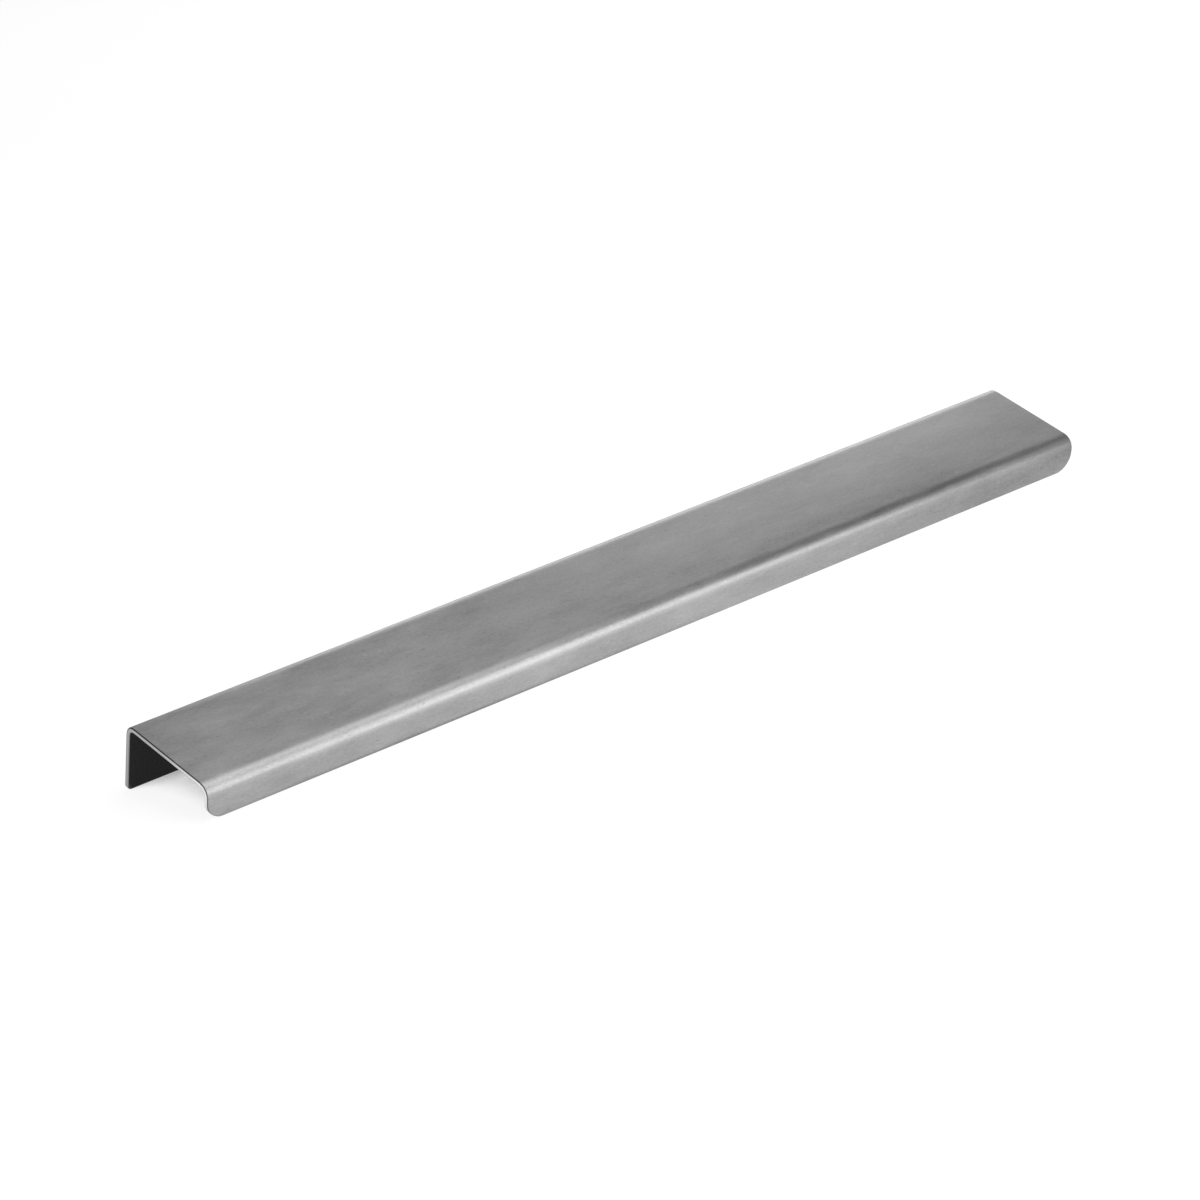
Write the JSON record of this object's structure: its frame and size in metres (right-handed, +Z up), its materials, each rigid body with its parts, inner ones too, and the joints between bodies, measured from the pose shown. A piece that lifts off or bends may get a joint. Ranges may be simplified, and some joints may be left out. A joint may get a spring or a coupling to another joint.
{
  "type": "lip pull",
  "caption": "Lip pull of bent brushed stainless sheet: it sits over the top edge of a drawer front or door, is screwed on from behind, and its short front lip takes the fingertips.",
  "frame": {"origin": "middle of the bounding box in plan, on the level that the pull lies on", "axes": "+X along the pull, +Y towards the rear flange, +Z up as the pull lies unheld on the ends of both flanges, so that its top face leans forwards by 16.7 degrees about X"},
  "size_m": [0.32, 0.04, 0.0197],
  "materials": {
    "brushed_stainless": "brushed along its length, with bright cut edges"
  },
  "bodies": {
    "root": {"lip_pull": "brushed_stainless"}
  },
  "joints": []
}
